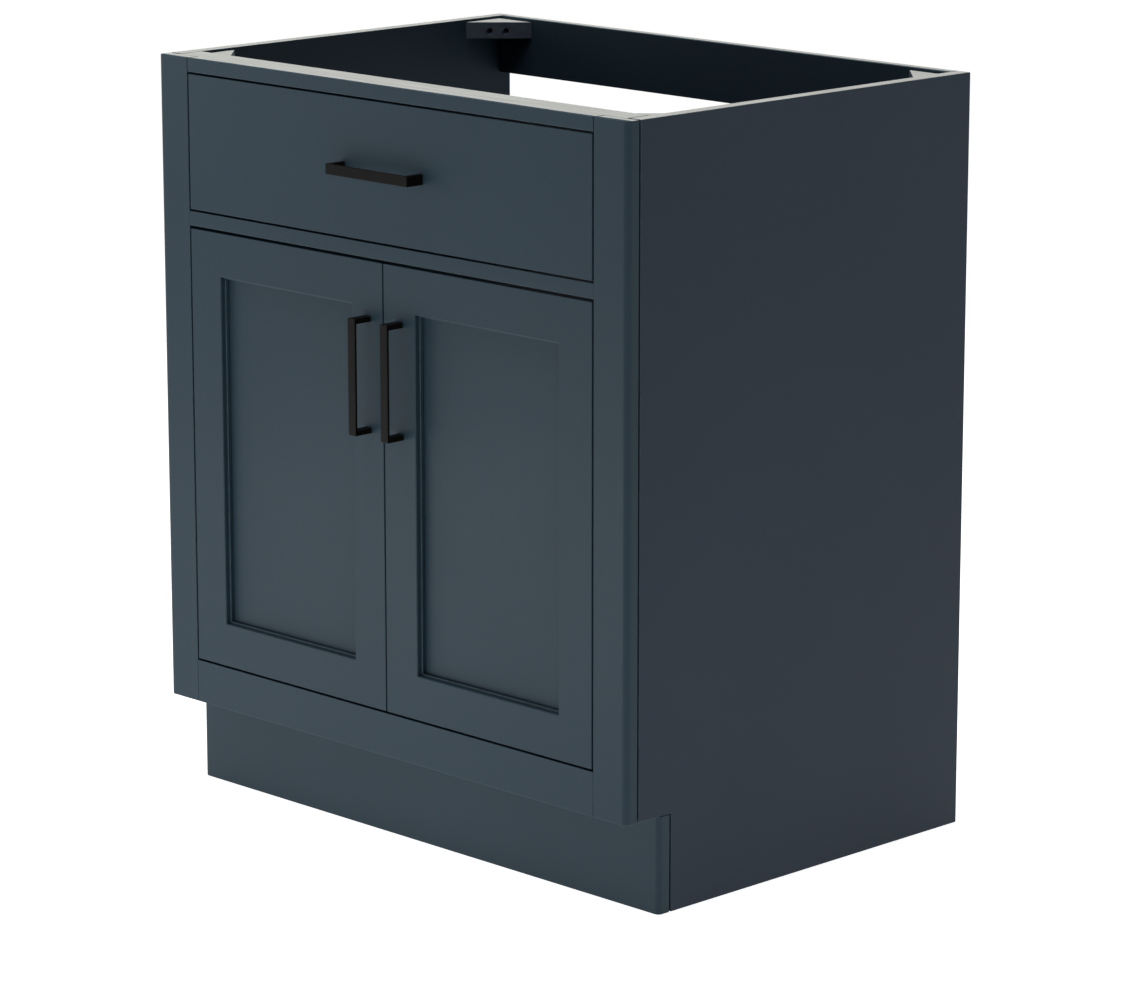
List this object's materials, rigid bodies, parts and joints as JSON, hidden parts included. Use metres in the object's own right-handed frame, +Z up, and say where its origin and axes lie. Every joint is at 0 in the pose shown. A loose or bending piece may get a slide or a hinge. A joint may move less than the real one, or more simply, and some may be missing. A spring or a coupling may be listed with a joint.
{
  "type": "bathroom vanity cabinet",
  "caption": "Open-topped single-sink bathroom vanity base cabinet with face frame, inset shaker doors, tip-out top front, flat bar pulls and a recessed toe kick.",
  "frame": {"origin": "on the floor, under the middle of the bounding box (the pulls are part of the box)", "axes": "+Z up, front of the cabinet towards -Y, +X to the right when facing the front"},
  "size_m": [0.762, 0.5702, 0.8763],
  "materials": {
    "navy_paint": "satin slate-navy paint on wood",
    "inside_paint": "satin dark navy paint on plywood, pale raw edges",
    "black_metal": "matte black bronze coating",
    "nickel_steel": "nickel-plated pressed steel",
    "zinc_steel": "zinc-plated steel",
    "tray_plastic": "off-white moulded plastic"
  },
  "bodies": {
    "carcass": {"left_side_panel": "navy_paint", "left_face_stile": "navy_paint", "left_hinge_cleat": "inside_paint", "left_lower_hinge_arm": "nickel_steel", "left_lower_hinge_plate": "nickel_steel", "left_upper_hinge_arm": "nickel_steel", "left_upper_hinge_plate": "nickel_steel", "left_tip_out_bracket": "nickel_steel", "front_left_corner_block": "inside_paint", "back_left_corner_block": "inside_paint", "right_side_panel": "navy_paint", "right_face_stile": "navy_paint", "right_hinge_cleat": "inside_paint", "right_lower_hinge_arm": "nickel_steel", "right_lower_hinge_plate": "nickel_steel", "right_upper_hinge_arm": "nickel_steel", "right_upper_hinge_plate": "nickel_steel", "right_tip_out_bracket": "nickel_steel", "front_right_corner_block": "inside_paint", "back_right_corner_block": "inside_paint", "top_face_rail": "navy_paint", "middle_face_rail": "navy_paint", "bottom_face_rail": "navy_paint", "toe_kick_board": "navy_paint", "top_front_stretcher": "inside_paint", "back_rail": "inside_paint", "lower_back_rail": "inside_paint", "cabinet_floor": "inside_paint"},
    "left_door": {"left_door_hinge_stile": "navy_paint", "left_door_meeting_stile": "navy_paint", "left_door_top_rail": "navy_paint", "left_door_bottom_rail": "navy_paint", "left_door_panel": "navy_paint", "left_door_pull": "black_metal", "left_door_pull_screw_1": "zinc_steel", "left_door_pull_screw_2": "zinc_steel", "left_lower_hinge_cup": "nickel_steel", "left_upper_hinge_cup": "nickel_steel"},
    "left_hinge_links": {"left_lower_hinge_link": "nickel_steel", "left_upper_hinge_link": "nickel_steel"},
    "tip_out": {"left_tip_out_stay": "nickel_steel", "right_tip_out_stay": "nickel_steel", "tip_out_front": "navy_paint", "tip_out_tray": "tray_plastic", "tip_out_pull": "black_metal", "tip_out_pull_screw_1": "zinc_steel", "tip_out_pull_screw_2": "zinc_steel"},
    "right_door": {"right_door_hinge_stile": "navy_paint", "right_door_meeting_stile": "navy_paint", "right_door_top_rail": "navy_paint", "right_door_bottom_rail": "navy_paint", "right_door_panel": "navy_paint", "right_door_pull": "black_metal", "right_door_pull_screw_1": "zinc_steel", "right_door_pull_screw_2": "zinc_steel", "right_lower_hinge_cup": "nickel_steel", "right_upper_hinge_cup": "nickel_steel"},
    "right_hinge_links": {"right_lower_hinge_link": "nickel_steel", "right_upper_hinge_link": "nickel_steel"}
  },
  "joints": [
    {"name": "left_door_swing", "type": "hinge", "parent": "carcass", "child": "left_door", "pos_m": [-0.3205, -0.25605, 0.422], "axis": [0, 0, -1], "range_deg": [0, 100]},
    {"name": "left_hinge_link_turn", "type": "hinge", "parent": "carcass", "child": "left_hinge_links", "pos_m": [-0.295, -0.24855, 0.422], "axis": [0, 0, -1], "range_deg": [-53, 0]},
    {"name": "right_door_swing", "type": "hinge", "parent": "carcass", "child": "right_door", "pos_m": [0.3205, -0.25605, 0.422], "axis": [0, 0, 1], "range_deg": [0, 100]},
    {"name": "right_hinge_link_turn", "type": "hinge", "parent": "carcass", "child": "right_hinge_links", "pos_m": [0.295, -0.24855, 0.422], "axis": [0, 0, 1], "range_deg": [-53, 0]},
    {"name": "tip_out_tilt", "type": "hinge", "parent": "carcass", "child": "tip_out", "pos_m": [0, -0.25605, 0.7055], "axis": [1, 0, 0], "range_deg": [0, 40]}
  ],
  "couplings": [
    {"joint": "left_hinge_link_turn", "follows": "left_door_swing", "ratio": -0.52},
    {"joint": "right_hinge_link_turn", "follows": "right_door_swing", "ratio": -0.52}
  ]
}
